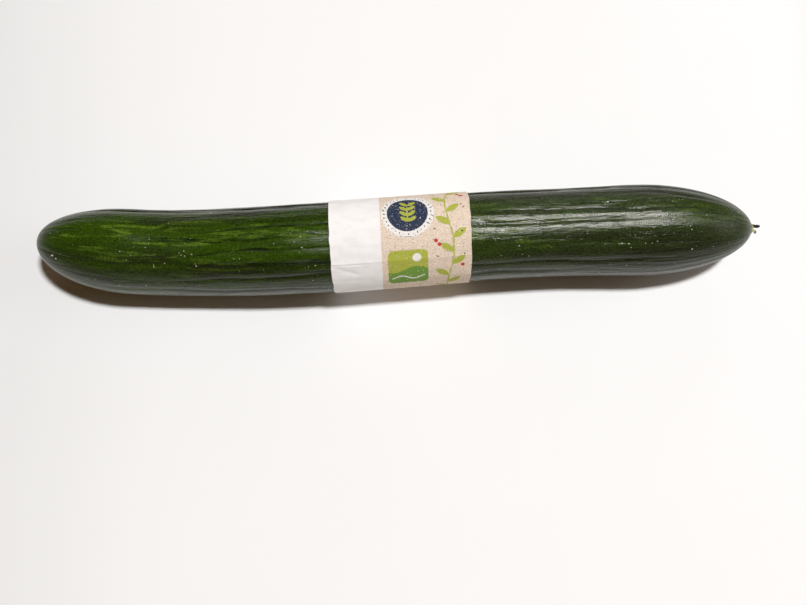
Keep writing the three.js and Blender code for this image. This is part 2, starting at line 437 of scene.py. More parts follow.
class Paint:
    """One node material, with a short name for each kind of node that the skins here use."""

    def __init__(self, name):
        self.material = bpy.data.materials.new(name)
        self.material.use_nodes = True
        self.tree = self.material.node_tree
        self.surface = self.tree.nodes["Principled BSDF"]

    def feed(self, socket, value):
        if isinstance(value, bpy.types.NodeSocket):
            self.tree.links.new(value, socket)
        elif isinstance(value, tuple) and len(value) == 3 and socket.type == "RGBA":
            socket.default_value = (*value, 1)
        else:
            socket.default_value = value

    def node(self, kind, inputs, **settings):
        made = self.tree.nodes.new("ShaderNode" + kind)
        for key, value in settings.items():
            setattr(made, key, value)
        for key, value in inputs.items():
            self.feed(made.inputs[key], value)
        return made

    def set(self, **values):
        for key, value in values.items():
            self.feed(self.surface.inputs[key.replace("_", " ")], value)

    def math(self, operation, first, second=0.0):
        return self.node("Math", {0: first, 1: second}, operation=operation).outputs[0]

    def attribute(self, name, output="Fac"):
        return self.node("Attribute", {}, attribute_name=name).outputs[output]

    def position(self):
        """Place in millimetres."""
        object_place = self.node("TexCoord", {}).outputs["Object"]
        return self.scaled(object_place, (1 / MM,) * 3)

    def scaled(self, vector, scale):
        return self.node("VectorMath", {0: vector, 1: scale}, operation="MULTIPLY").outputs[0]

    def away_from(self, vector, place):
        offset = self.node("VectorMath", {0: vector, 1: tuple(place)}, operation="DISTANCE")
        return offset.outputs["Value"]

    def noise(self, vector, size, detail=2.0, rough=0.5, warp=0.0):
        """Noise from 0 to 1, with features of a size in each direction."""
        place = self.scaled(vector, tuple(1 / s for s in size))
        inputs = {"Vector": place, "Scale": 1.0, "Detail": detail, "Roughness": rough}
        inputs["Distortion"] = warp
        return self.node("TexNoise", inputs).outputs["Fac"]

    def cells(self, vector, size):
        """Distance to the nearest of scattered points about `size` apart, and its own number."""
        inputs = {"Vector": self.scaled(vector, (1 / size,) * 3), "Scale": 1.0}
        made = self.node("TexVoronoi", inputs)
        number = self.node("SeparateColor", {0: made.outputs["Color"]}).outputs[0]
        return self.math("MULTIPLY", made.outputs["Distance"], size), number

    def span(self, value, low, high, to_low=0.0, to_high=1.0):
        """Goes smoothly from to_low to to_high as the value goes from low to high."""
        inputs = {"Value": value, 1: low, 2: high, 3: to_low, 4: to_high}
        return self.node("MapRange", inputs, interpolation_type="SMOOTHSTEP").outputs[0]

    def times(self, *values):
        product = values[0]
        for value in values[1:]:
            product = self.math("MULTIPLY", product, value)
        return product

    def mix(self, share, first, second, blend="MIX"):
        inputs = {0: share, 6: first, 7: second}
        made = self.node("Mix", inputs, data_type="RGBA", blend_type=blend)
        return made.outputs[2]

    def bump(self, height, distance, under=None):
        """A bump of a height from 0 to 1 over a distance in millimetres."""
        inputs = {"Height": height, "Distance": distance * MM, "Strength": 1.0}
        if under:
            inputs["Normal"] = under
        return self.node("Bump", inputs).outputs["Normal"]


# Skin colours, in linear light
DEEP_GREEN = (0.0118, 0.0182, 0.0042)
LEAF_GREEN = (0.0260, 0.0600, 0.0018)
PALE_GREEN = (0.0850, 0.1450, 0.0130)
DARK_END_GREEN = (0.0145, 0.0205, 0.0068)
MID_END_GREEN = (0.0220, 0.0385, 0.0072)
FURROW_GREEN = (0.0040, 0.0100, 0.0012)
CORK_CREAM = (0.42, 0.42, 0.20)
CORK_BROWN = (0.16, 0.11, 0.045)

# Corky rims at both tips: how far each reaches from its middle, and how soft its edge is
PIT_CORK = 3.6
BLOSSOM_CORK = 1.4
CORK_EDGE = 1.4


def skin_paint():
    paint = Paint("cucumber_skin")
    straight = paint.attribute("straight", "Vector")
    furrow = paint.attribute("furrow")
    crease = paint.math("ADD", paint.attribute("crease"), paint.attribute("groove"))
    paleness_and_sheen = paint.attribute("paleness_and_sheen")
    x = paint.node("SeparateXYZ", {0: straight}).outputs[0]
    place = paint.position()

    # Ground colour by ribs and patches, yellower at the blossom end and greyer at the stalk end
    patches = paint.noise(straight, (30, 6, 6), 3)
    pale = paint.math("ADD", paint.times(paint.attribute("shade"), 0.55), paint.times(patches, 0.9))
    # The pale sides and patches hold some painted highlight on the upper rib of the stalk half
    pale = paint.math("ADD", pale, paint.times(paleness_and_sheen, 0.5))
    paler = paint.span(pale, 0.55, 1.35)
    blossom_half = paint.mix(paler, DEEP_GREEN, LEAF_GREEN)
    stalk_half = paint.mix(paler, DARK_END_GREEN, MID_END_GREEN)
    colour = paint.mix(paint.span(x, -45, 75), blossom_half, stalk_half)

    # Pale streaks that run with the ribs, strongest on the paler side of the blossom half
    streaks = paint.noise(straight, (24, 3.0, 3.0), 3, 0.55, 0.9)
    half = paint.span(x, -30, 60, 1, 0.34)
    strength = paint.times(paint.span(streaks, 0.51, 0.67), half, paint.span(paleness_and_sheen, 0, 1, 0.2, 1))
    colour = paint.mix(strength, colour, PALE_GREEN)

    # Darker bottoms of the furrows, and thin dark creases that come and go
    colour = paint.mix(paint.times(paint.span(furrow, 0.35, 1.1), 0.45), colour, FURROW_GREEN)
    broken = paint.span(paint.noise(straight, (12, 4, 4), 2), 0.40, 0.58, 0.2, 0.85)
    colour = paint.mix(paint.times(paint.span(crease, 0.2, 0.9), broken), colour, FURROW_GREEN)

    # Fine mottle and tiny pale pores
    mottle = paint.noise(place, (0.8, 0.7, 0.7), 3, 0.72)
    shade = paint.span(mottle, 0.3, 0.7, 0.38, 1.55)
    shades = paint.node("CombineColor", {0: shade, 1: shade, 2: shade}).outputs[0]
    colour = paint.mix(1.0, colour, shades, "MULTIPLY")
    away, number = paint.cells(place, 3.4)
    pore = paint.times(paint.span(away, 0.16, 0.24, 1, 0), paint.span(number, 0.55, 0.6))
    colour = paint.mix(paint.times(pore, 0.34), colour, CORK_CREAM)

    # Corky rims at both tips
    for tip, reach in ((PIT_CENTRE, PIT_CORK), (BLOSSOM_TIP, BLOSSOM_CORK)):
        ragged = paint.math("ADD", paint.away_from(place, tip), paint.times(mottle, 0.8))
        near = paint.span(ragged, reach, reach + CORK_EDGE, 1, 0)
        rim = paint.mix(paint.span(mottle, 0.45, 0.75), CORK_CREAM, CORK_BROWN)
        colour = paint.mix(paint.times(near, 0.9), colour, rim)

    # Pebbled, waxy surface with lengthwise lines
    pebbles = paint.noise(place, (0.95, 0.8, 0.8), 3, 0.65)
    lines = paint.noise(straight, (8, 0.8, 0.8), 2, 0.5)
    normal = paint.bump(pebbles, 0.165)
    normal = paint.bump(lines, 0.20, normal)
    bloom = paint.noise(straight, (16, 5, 5), 2)
    paint.set(Base_Color=colour, Roughness=paint.span(bloom, 0.3, 0.7, 0.15, 0.235), Normal=normal)
    paint.set(IOR=1.45, Specular_IOR_Level=0.5, Specular_Tint=(1.0, 0.98, 0.93))
    return paint.material


# Fruit

# The skin's finer relief doesn't reach past the solid model's blossom end
LEAST_X = -177.29

# The paler side, which had the least sun
BELLY_ANGLE = math.radians(-2)
BELLY_WIDTH = math.radians(28)

# Other pale patches, as (x, degrees, reach along, reach in degrees, strength). The one at -24 degrees
# on the stalk half is partly paler skin and partly painted highlight, for a faint strand of reflected
# light on the upper rib.
PALE_PATCHES_AND_SHEEN = [(55, 31, 42, 6, 0.9), (75, -24, 60, 7, 0.8), (-92, 2, 48, 5, 0.5)]


def fruit_stations():
    quarter = np.arange(1, DOME_RINGS) / DOME_RINGS * np.pi / 2
    blossom = BLOSSOM_X + BLOSSOM_DOME * (1 - np.cos(quarter))
    body = np.linspace(BLOSSOM_X + BLOSSOM_DOME, STALK_X - STALK_DOME, BODY_RINGS)
    stalk = STALK_X - STALK_DOME * (1 - np.cos(quarter))
    stalk = stalk[stalk < PIT_RIM_X]
    return np.concatenate([blossom, body, stalk[::-1]])


def straightened(x, angle):
    """Places on a straight fruit, where every rib keeps its own angle."""
    wander = FURROW_WANDER * np.sin(x / FURROW_WANDER_LENGTH + 2 * angle)
    turned = angle - wander
    spokes = [x, BLOSSOM_RADIUS * np.sin(turned), BLOSSOM_RADIUS * np.cos(turned)]
    return np.stack(np.broadcast_arrays(*spokes), -1)


# Paleness of the skin, with painted highlight in one patch on the upper rib of the stalk half
def pale_sides_and_sheen(x, angle):
    paleness_and_sheen = bell(turn_from(angle, BELLY_ANGLE), BELLY_WIDTH) * np.ones_like(x)
    for patch_x, degrees, reach, width, strength in PALE_PATCHES_AND_SHEEN:
        away = turn_from(angle, math.radians(degrees))
        paleness_and_sheen = paleness_and_sheen + strength * bell(x - patch_x, reach) * bell(away, math.radians(width))
    return paleness_and_sheen


def set_skin_attributes(fruit, x, angle):
    """What the skin's paint needs to know at each point, with the two poles last."""
    poles = [[BLOSSOM_X, 0, 0], [PIT_RIM_X, 0, 0]]
    straight = np.concatenate([straightened(x, angle).reshape(-1, 3), poles])
    set_attribute(fruit, "straight", straight)
    fade = line_strength(x) * furrow_share(x, angle)
    for name, values in {
        "furrow": furrows(x, angle) * fade,
        "groove": furrows(x, angle, GROOVE_WIDTH) * fade,
        "crease": creases(x, angle) * fade + dark_lines(x, angle) / DARK_LINE_DEPTH,
        "shade": rib_shades(x, angle),
        "paleness_and_sheen": pale_sides_and_sheen(x, angle),
    }.items():
        set_attribute(fruit, name, np.append(values.ravel(), [0, 0]))


def make_fruit():
    x = fruit_stations()[:, None]
    even = (np.arange(FRUIT_SIDES) * TURN / FRUIT_SIDES)[None, :]
    angle = even - CLOSER * np.sin(even - CLOSEST_ANGLE)
    pit_x = np.array([PIT_RIM_X - back for back, _ in PIT_SHAPE])[:, None]
    pit_radius = np.array([radius for _, radius in PIT_SHAPE])[:, None]
    rings = np.concatenate([skin_point(x, angle), on_section(pit_x, pit_radius, angle)])
    rings[..., 0] = np.maximum(rings[..., 0], LEAST_X)
    rings[..., 2] = np.maximum(rings[..., 2], 0)
    poles = np.stack([BLOSSOM_TIP, centre(pit_x[-1, 0])])
    points = np.concatenate([rings.reshape(-1, 3), poles])
    faces = closed_faces(len(rings), FRUIT_SIDES)
    fruit = add_mesh("cucumber_fruit", points, faces, skin_paint())
    set_skin_attributes(fruit, np.concatenate([x, pit_x]), angle)
    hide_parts("fruit")


# Spine scars and nicks

# Scars are little pale domes, with each ring's share of the radius and height as a share of it
SCAR_SIDES = 7
SCAR_SHAPE = [(1.0, -0.25), (0.75, 0.35), (0.35, 0.62)]
SCAR_TOP = 0.7
SCAR_LOWEST = 1.5
SCAR_SIZES = (0.4, 1.15)
SCAR_STRETCHES = (1.0, 1.7)
LEAST_AROUND = 3

# Scars that are scattered on the ribs, and the clusters that the photo shows, as (x, degrees,
# number of scars)
SCATTERED_SCARS = 260
SCATTERED_RADIUS = 0.17
SCATTER_FROM = BLOSSOM_X + 6
SCATTER_TO = STALK_X - 8
OFF_THE_RIB = 0.12
CLUSTER_RADIUS = 0.3
CLUSTER_SPREAD = 2.2
CLUSTER_SPREAD_DEGREES = 3.5
CLUSTERS = [
    (-119.5, 6, 4), (-99, 20, 5), (-96.5, 31, 2), (-75, 29, 2), (-47, 1, 2), (-46, 19, 3),
    (-39.6, 38, 2), (-163, 38, 6), (-131, 22, 3), (54, 36, 2), (70, 33, 2), (107, 37, 3),
    (121, 35, 3), (137, 12, 2), (139, 45, 2),
]

# Nicks are low ridges along a path of (x, degrees), with half their width
PALE_NICKS = [([(-115.7, 32), (-115.4, 38.5)], 0.17), ([(-57.2, 8), (-57.9, 10)], 0.15)]
DARK_NICKS = [
    ([(112, -9), (114.2, -4), (116.3, -0.5)], 0.17),
    ([(105.8, 14), (107.7, 15)], 0.20),
    ([(73.9, 36.4), (75.4, 37.2)], 0.22),
    ([(89, 65), (94, 66.5)], 0.14),
    ([(-65.5, 65), (-60.8, 66)], 0.20),
    ([(-103.2, 68), (-101.4, 69)], 0.28),
]
NICK_STEPS = 9
NICK_HEIGHT = 0.06
NICK_SIDES = (-1, 0, 1)

SCAR_DULL = (0.42, 0.44, 0.26)
SCAR_PALE = (0.78, 0.78, 0.64)
NICK_BLACK = (0.004, 0.005, 0.002)
NICK_BROWN = (0.020, 0.020, 0.008)


def mottled_paint(name, grain, dark, pale, least_rough, height):
    paint = Paint(name)
    mottle = paint.noise(paint.position(), grain, 2)
    colour = paint.mix(paint.span(mottle, 0.35, 0.65), dark, pale)
    roughness = paint.span(mottle, 0.3, 0.7, least_rough, 0.7)
    paint.set(Base_Color=colour, Roughness=roughness, Normal=paint.bump(mottle, height))
    return paint.material


def scar_paint():
    return mottled_paint("spine_scar", (0.4, 0.4, 0.4), SCAR_DULL, SCAR_PALE, 0.45, 0.05)


def nick_paint():
    return mottled_paint("dark_nick", (0.5, 0.3, 0.3), NICK_BLACK, NICK_BROWN, 0.5, 0.04)


def nick_points(path, half_width):
    """Rows of points of a low ridge over the skin, pointed at both ends."""
    knots = np.linspace(0, 1, len(path))
    share = np.linspace(0, 1, NICK_STEPS)
    x = np.interp(share, knots, [at for at, _ in path])
    angle = np.radians(np.interp(share, knots, [degrees for _, degrees in path]))
    around = crest_radius(x, angle)
    ahead = np.stack([np.gradient(x), around * np.gradient(angle)])
    ahead /= np.linalg.norm(ahead, axis=0)
    width = half_width * np.sqrt(np.sin(np.pi * np.clip(share, 0.02, 0.98)))
    rows = []
    for side in NICK_SIDES:
        row_x = x - side * width * ahead[1]
        row_angle = angle + side * width * ahead[0] / around
        rows.append(skin_point(row_x, row_angle, NICK_HEIGHT * (1 - 2 * abs(side))))
    return np.concatenate(rows)


def add_nicks(points, faces, nicks):
    for path, half_width in nicks:
        faces.extend(sheet_faces(len(NICK_SIDES), NICK_STEPS, len(points)))
        points.extend(nick_points(path, half_width))


def scar_places(random):
    """Place and usual radius of each scar."""
    for x, degrees, count in CLUSTERS:
        for _ in range(count):
            scar_x = x + random.normal(0, CLUSTER_SPREAD)
            scar_degrees = degrees + random.normal(0, CLUSTER_SPREAD_DEGREES)
            yield scar_x, math.radians(scar_degrees), CLUSTER_RADIUS
    for _ in range(SCATTERED_SCARS):
        x = random.uniform(SCATTER_FROM, SCATTER_TO)
        rib = random.integers(FURROWS)
        between = 0.5 + random.normal(0, OFF_THE_RIB)
        angle = furrow_place(rib, x) + between * TURN / FURROWS
        yield x, angle, SCATTERED_RADIUS


def scar_points(x, angle, radius, stretch):
    turns = np.arange(SCAR_SIDES) * TURN / SCAR_SIDES
    around = max(taper(x) * crest_radius(x, angle), LEAST_AROUND)
    points = []
    for share, height in SCAR_SHAPE:
        ring_x = x + radius * share * stretch * np.cos(turns)
        ring_angle = angle + radius * share * np.sin(turns) / around
        points.extend(skin_point(ring_x, ring_angle, radius * height))
    points.append(skin_point(x, angle, radius * SCAR_TOP))
    return points


def scar_faces(start):
    last = (len(SCAR_SHAPE) - 1) * SCAR_SIDES
    top = len(SCAR_SHAPE) * SCAR_SIDES
    faces = ring_faces(len(SCAR_SHAPE), SCAR_SIDES)
    faces += [(last + s, last + (s + 1) % SCAR_SIDES, top) for s in range(SCAR_SIDES)]
    return [tuple(start + i for i in face) for face in faces]


def make_scars():
    random = np.random.default_rng(11)
    points, faces = [], []
    for x, angle, size in scar_places(random):
        radius = size * random.uniform(*SCAR_SIZES)
        stretch = random.uniform(*SCAR_STRETCHES)
        if skin_point(x, angle)[2] >= SCAR_LOWEST:
            faces.extend(scar_faces(len(points)))
            points.extend(scar_points(x, angle, radius, stretch))
    add_nicks(points, faces, PALE_NICKS)
    add_mesh("spine_scars", np.array(points), faces, scar_paint())


def make_nicks():
    points, faces = [], []
    add_nicks(points, faces, DARK_NICKS)
    add_mesh("dark_nicks", np.array(points), faces, nick_paint())


# Sleeve

# Creases beside the two sharp folds, as (angle, reach) in degrees
SOFT_CREASES = [(-38, 4), (-4, 5.5), (17, 5.5), (69, 6), (84, 4), (120, 6), (-75, 6), (-100, 5)]

# Valley behind the sharp fold, which fades out along the sleeve and varies by a share of itself,
# in cells as (length, number round, seed)
VALLEY_DEPTH = 0.26
VALLEY_BEHIND = math.radians(1.6)
VALLEY_WIDTH = math.radians(1.5)
VALLEY_FADE = 1.9
VALLEY_SHARE = 0.75
VALLEY_CHANGE = 0.5
VALLEY_CELLS = (7, 4, 23)
FOLD_STEP = math.radians(0.3)
FOLD_STEPS = 14

# Pinched lines near the fold, as (x, degrees) at both ends, depth and width
PINCHES = [
    ((-33, 43), (-20, 57), 0.22, 1.1),
    ((-33, 66), (-12, 69), 0.14, 1.2),
    ((-31, 25), (-12, 22), 0.08, 1.0),
    ((4, 45), (30, 49), 0.10, 1.0),
    ((8, 61), (33, 58), 0.10, 1.0),
]

# The paper's edges draw in a little where it turns over to the back
DRAWN_IN_ANGLE = math.radians(-78)
DRAWN_IN_WIDTH = math.radians(15)
DRAWN_IN = 1.3

# Waves of the cut edges and of the paper, these as (length of a cell, cells round, height, seed)
CUT_WAVE = 0.22
CUT_CELLS = 40
LEFT_CUT_SEED = 31
RIGHT_CUT_SEED = 32
PAPER_WAVES = [(17, 26, 0.09, 21), (8, 60, 0.04, 22)]
RIBS_THROUGH_PAPER = 0.05
SHARP_FROM = math.radians(35)

# The radius that the print is laid out on, and the distance to any ink on the paper's inner face
PRINT_RADIUS = 22.3
UNPRINTED = 9.0


def crease_lift(angle, fold, reach):
    return 1 / np.cos(np.maximum(reach - np.abs(turn_from(angle, fold)), 0))


def sleeve_radius(x, angle):
    from_edge = (x - SLEEVE_FROM) / (SLEEVE_TO - SLEEVE_FROM)
    reach = FOLD_REACH * (1 - FOLD_NARROWING * np.clip(from_edge, 0, 1))
    radius = crest_radius(x, angle) + SLEEVE_CLEARANCE
    radius = radius * crease_lift(angle, FOLD_ANGLE, reach)
    radius = radius * crease_lift(angle, FOLD_ANGLE + np.pi, reach)
    for degrees, soft_reach in SOFT_CREASES:
        radius = radius * crease_lift(angle, math.radians(degrees), math.radians(soft_reach))
    valley = VALLEY_DEPTH * (1 - eased(from_edge * VALLEY_FADE))
    valley = valley * (VALLEY_SHARE + VALLEY_CHANGE * skin_noise(x, 0 * angle, *VALLEY_CELLS))
    radius = radius - valley * bell(turn_from(angle, FOLD_ANGLE + VALLEY_BEHIND), VALLEY_WIDTH)
    radius = radius - dents(x, angle, PINCHES) - RIBS_THROUGH_PAPER * furrows(x, angle)
    for cell, columns, height, seed in PAPER_WAVES:
        radius = radius + height * skin_noise(x, angle, cell, columns, seed)
    return radius


def sleeve_angles():
    """Angles from one end of the strip to the other, which lie closer beside the folds."""
    angles = np.linspace(LAP_FROM - TURN, LAP_TO, SLEEVE_COLUMNS)
    beside = np.arange(-FOLD_STEPS, FOLD_STEPS + 1) * FOLD_STEP
    for fold in (FOLD_ANGLE, FOLD_ANGLE + math.pi):
        angles = angles[np.abs(angles - fold) > (FOLD_STEPS + 1) * FOLD_STEP]
        angles = np.concatenate([angles, fold + beside])
    return np.sort(angles)


def cut_wave(angle, seed):
    cells = angle / TURN * CUT_CELLS
    return CUT_WAVE * cell_noise(0 * cells, cells + CUT_CELLS, CUT_CELLS, seed)


def sleeve_places(angle):
    """The x of each row of points, from one cut edge to the other."""
    share = np.linspace(0, 1, SLEEVE_ROWS)[:, None]
    drawn_in = DRAWN_IN * bell(turn_from(angle, DRAWN_IN_ANGLE), DRAWN_IN_WIDTH)
    left = SLEEVE_FROM + cut_wave(angle, LEFT_CUT_SEED) + drawn_in
    right = SLEEVE_TO - SLEEVE_SKEW * np.cos(angle - SLEEVE_SKEW_ANGLE)
    right = right + cut_wave(angle, RIGHT_CUT_SEED) - drawn_in
    return left + (right - left) * share


def sleeve_faces(across):
    """The outer sheet, the inner one and the rim all round between them."""
    count = SLEEVE_ROWS * across
    faces = []
    for quad in sheet_faces(SLEEVE_ROWS, across):
        faces.append(quad)
        faces.append(tuple(count + i for i in reversed(quad)))
    edge = list(range(across))
    edge += [r * across + across - 1 for r in range(1, SLEEVE_ROWS)]
    edge += [(SLEEVE_ROWS - 1) * across + c for c in range(across - 2, -1, -1)]
    edge += [r * across for r in range(SLEEVE_ROWS - 2, 0, -1)]
    for here, there in zip(edge, edge[1:] + edge[:1]):
        faces.append((there, here, count + here, count + there))
    return faces


def make_sleeve():
    angle = sleeve_angles()[None, :]
    x = sleeve_places(angle)
    lap = eased((angle - LAP_FROM + LAP_RISE) / LAP_RISE) * (PAPER + LAP_GAP)
    outer_radius = sleeve_radius(x, angle) + lap + PAPER
    outer = on_section(x, outer_radius, angle)
    inner = on_section(x, outer_radius - PAPER, angle)
    points = np.concatenate([outer.reshape(-1, 3), inner.reshape(-1, 3)])
    faces = sleeve_faces(angle.size)
    sleeve = add_mesh("printed_paper_sleeve", points, faces, paper_paint())
    sleeve.data.set_sharp_from_angle(angle=SHARP_FROM)
    p = x - SLEEVE_FROM - WHITE_WIDTH + PRINT_SKEW * np.sin(angle)
    q = PRINT_RADIUS * (angle - TURN * np.round(angle / TURN)) * np.ones_like(p)
    unprinted = np.full(x.size, UNPRINTED)
    for name, distance in print_distances(p, q).items():
        set_attribute(sleeve, name, np.concatenate([distance.ravel(), unprinted]))
    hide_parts("paper_sleeve")


# Print: for each ink, the distance in millimetres to the edge of what it covers, less than zero
# inside. p runs along the fruit from the edge of the white zone, q round it from the top.

GARLAND_P = 32.5
GARLAND_WAVE = 1.6
GARLAND_WAVE_LENGTH = 7
GARLAND_STEM = 0.42
GARLAND_REACH = 66
GARLAND_STEP = 6.6
GARLAND_LEAF_OUT = 6.4
GARLAND_LEAF_UP = 4.4
GARLAND_LEAF_WIDTH = 3.3

ROUNDEL = (13.0, -7.5)
ROUNDEL_RADIUS = 9.6
ROUNDEL_RING = 2.6
ROUNDEL_RING_WIDTH = 0.26
ROUNDEL_HALO = 2.9
DOTS = 32
DOTS_AWAY = 1.35
DOT_RADIUS = 0.42

SPRIG_BEND = 30
SPRIG_STEM = 0.5
SPRIG_REACH = 7
SPRIG_PAIRS = [-4.2, -1.2, 1.8, 4.8]
SPRIG_LEAF_OUT = 3.9
SPRIG_LEAF_UP = 2.9
SPRIG_LEAF_WIDTH = 1.9

# A little landscape on a field, with a hill, a brook and a sun
FIELD = (12.2, 20.5)
FIELD_HALF = (9.4, 9.6)
FIELD_CORNER = 2.6
FIELD_INSET = 1.4
HILL_BELOW = 0.5
HILL_WAVE = 1.7
HILL_WAVE_LENGTH = 3.4
BROOK_BELOW = 5.2
BROOK_WAVE = 1.0
BROOK_WAVE_LENGTH = 1.9
BROOK_HALF = 0.4
SUN = (16.4, 14.8)
SUN_RADIUS = 2.1

BERRY_RADIUS = 0.95
BERRIES = [(37.4, -19.5), (39.0, -17.8), (27.2, 9.3), (25.6, 7.4), (38.0, 20.4)]
SEED_LENGTHS = (1.3, 0.8)
SEED_WIDTH = 0.7
SEEDS = [(25.2, -21), (37.8, -11), (38.9, -9.2), (24.6, 1.5), (37.4, 3.2), (25.4, 14.6), (38.2, 14.2)]


def disc(p, q, middle, radius):
    return np.hypot(p - middle[0], q - middle[1]) - radius


def ring(p, q, middle, radius, width):
    return np.abs(disc(p, q, middle, radius)) - width / 2


def leaf(p, q, foot, tip, width):
    """Two arcs that meet in a point at the foot and at the tip."""
    foot, tip = np.array(foot, float), np.array(tip, float)
    length = np.hypot(*(tip - foot))
    way = (tip - foot) / length
    middle = (foot + tip) / 2
    lengthwise = (p - middle[0]) * way[0] + (q - middle[1]) * way[1]
    across = (q - middle[1]) * way[0] - (p - middle[0]) * way[1]
    arc = (length**2 + width**2) / (4 * width)
    return np.hypot(lengthwise, np.abs(across) + arc - width / 2) - arc


def rounded_panel(p, q, middle, half, corner):
    lengthwise = np.abs(p - middle[0]) - half[0] + corner
    across = np.abs(q - middle[1]) - half[1] + corner
    outside = np.hypot(np.maximum(lengthwise, 0), np.maximum(across, 0))
    return outside + np.minimum(np.maximum(lengthwise, across), 0) - corner


def garland(p, q):
    """A waving stem that goes round the sleeve, with a leaf on either side by turns."""

    def stem(around):
        return GARLAND_P + GARLAND_WAVE * np.sin(around / GARLAND_WAVE_LENGTH)

    distance = np.abs(p - stem(q)) - GARLAND_STEM
    for i, at in enumerate(np.arange(-GARLAND_REACH, GARLAND_REACH + 1, GARLAND_STEP)):
        side = 1 if i % 2 else -1
        tip = (stem(at) + side * GARLAND_LEAF_OUT, at - GARLAND_LEAF_UP)
        distance = np.minimum(distance, leaf(p, q, (stem(at), at), tip, GARLAND_LEAF_WIDTH))
    return distance


def sprig(p, q):
    """A small upright branch with four pairs of leaves, inside the roundel."""
    middle = (ROUNDEL[0] + SPRIG_BEND, ROUNDEL[1])
    stem = ring(p, q, middle, SPRIG_BEND, SPRIG_STEM)
    distance = np.maximum(stem, disc(p, q, ROUNDEL, SPRIG_REACH))
    for at in SPRIG_PAIRS:
        foot = (ROUNDEL[0] + at * at / (2 * SPRIG_BEND), ROUNDEL[1] + at)
        for side in (-1, 1):
            tip = (foot[0] + side * SPRIG_LEAF_OUT, foot[1] - SPRIG_LEAF_UP)
            distance = np.minimum(distance, leaf(p, q, foot, tip, SPRIG_LEAF_WIDTH))
    return distance


def roundel(p, q):
    """A disc in a thin ring, with dots between them."""
    outline = ring(p, q, ROUNDEL, ROUNDEL_RADIUS + ROUNDEL_RING, ROUNDEL_RING_WIDTH)
    distance = np.minimum(disc(p, q, ROUNDEL, ROUNDEL_RADIUS), outline)
    reach = ROUNDEL_RADIUS + DOTS_AWAY
    for i in range(DOTS):
        turn = i * TURN / DOTS
        dot = (ROUNDEL[0] + reach * math.cos(turn), ROUNDEL[1] + reach * math.sin(turn))
        distance = np.minimum(distance, disc(p, q, dot, DOT_RADIUS))
    return distance


def seeds(p, q):
    distances = []
    for foot in SEEDS:
        tip = (foot[0] + SEED_LENGTHS[0], foot[1] + SEED_LENGTHS[1])
        distances.append(leaf(p, q, foot, tip, SEED_WIDTH))
    return np.minimum.reduce(distances)


def sun_and_brook(p, q, field):
    wave = BROOK_WAVE * np.sin(p / BROOK_WAVE_LENGTH)
    brook = np.abs(q - FIELD[1] - BROOK_BELOW - wave) - BROOK_HALF
    return np.minimum(disc(p, q, SUN, SUN_RADIUS), np.maximum(brook, field + FIELD_INSET))


def print_distances(p, q):
    field = rounded_panel(p, q, FIELD, FIELD_HALF, FIELD_CORNER)
    hill = FIELD[1] + HILL_BELOW + HILL_WAVE * np.sin(p / HILL_WAVE_LENGTH) - q
    return {
        "white_zone": p,
        "halo": disc(p, q, ROUNDEL, ROUNDEL_RADIUS + ROUNDEL_HALO),
        "lime": np.minimum(field, garland(p, q)),
        "green": np.maximum(hill, field),
        "navy": np.minimum(roundel(p, q), seeds(p, q)),
        "sprig": sprig(p, q),
        "white": sun_and_brook(p, q, field),
        "red": np.minimum.reduce([disc(p, q, berry, BERRY_RADIUS) for berry in BERRIES]),
    }


BLANK_WHITE = (0.90, 0.885, 0.88)
BLANK_GREY = (0.85, 0.83, 0.825)
KRAFT = (0.63, 0.50, 0.39)
KRAFT_FIBRE = (0.84, 0.72, 0.60)
WHITE_INK = (0.82, 0.80, 0.77)
LIME = (0.40, 0.43, 0.055)
INKS = {
    "halo": WHITE_INK,
    "lime": LIME,
    "green": (0.150, 0.300, 0.050),
    "navy": (0.008, 0.022, 0.062),
    "sprig": LIME,
    "white": WHITE_INK,
    "red": (0.50, 0.035, 0.035),
}
INK_COVER = 0.985

# Flecks as (distance apart, reach, share left out, colour)
FLECK_COVER = 0.75
FLECKS = [(1.7, 0.34, 0.35, (0.16, 0.10, 0.06)), (1.3, 0.30, 0.55, (0.86, 0.78, 0.68))]


def paper_paint():
    paint = Paint("printed_paper")
    place = paint.position()
    edge_wear = paint.span(paint.noise(place, (0.35, 0.35, 0.35), 2), 0, 1, -0.10, 0.10)

    # Ground: a blank white end, and kraft brown with pale fibres
    fibres = paint.noise(place, (0.8, 0.5, 0.5), 3, 0.7)
    kraft = paint.mix(paint.span(fibres, 0.35, 0.65), KRAFT, KRAFT_FIBRE)
    soft = paint.noise(place, (6, 4, 4), 2)
    white = paint.mix(paint.span(soft, 0.35, 0.7), BLANK_WHITE, BLANK_GREY)
    in_kraft = paint.span(paint.attribute("white_zone"), -0.08, 0.08)
    colour = paint.mix(in_kraft, white, kraft)

    # Inks, with worn specks where the paper shows through
    worn = paint.span(paint.noise(place, (0.5, 0.45, 0.45), 2, 0.6), 0.60, 0.72, 1, 0.45)
    printed = 0.0
    for name, ink in INKS.items():
        distance = paint.math("ADD", paint.attribute(name), edge_wear)
        inside = paint.times(paint.span(distance, -0.07, 0.07, 1, 0), worn, INK_COVER)
        colour = paint.mix(inside, colour, ink)
        printed = paint.math("MAXIMUM", printed, inside)

    # Dark and pale flecks of the kraft pulp, which show through the inks too
    for size, reach, least, tone in FLECKS:
        away, number = paint.cells(place, size)
        spot = paint.span(away, reach * 0.6, reach, 1, 0)
        chosen = paint.span(number, least, least + 0.1)
        flecked = paint.times(spot, chosen, in_kraft, FLECK_COVER)
        colour = paint.mix(flecked, colour, tone)

    # Matt paper, a little smoother where it is printed
    height = paint.noise(place, (0.5, 0.35, 0.35), 3, 0.6)
    gloss = paint.times(printed, 0.15)
    roughness = paint.math("SUBTRACT", paint.span(height, 0.3, 0.7, 0.72, 0.88), gloss)
    paint.set(Base_Color=colour, Roughness=roughness, Normal=paint.bump(height, 0.035))
    paint.set(Specular_IOR_Level=0.15)
    return paint.material


# Torn stalk

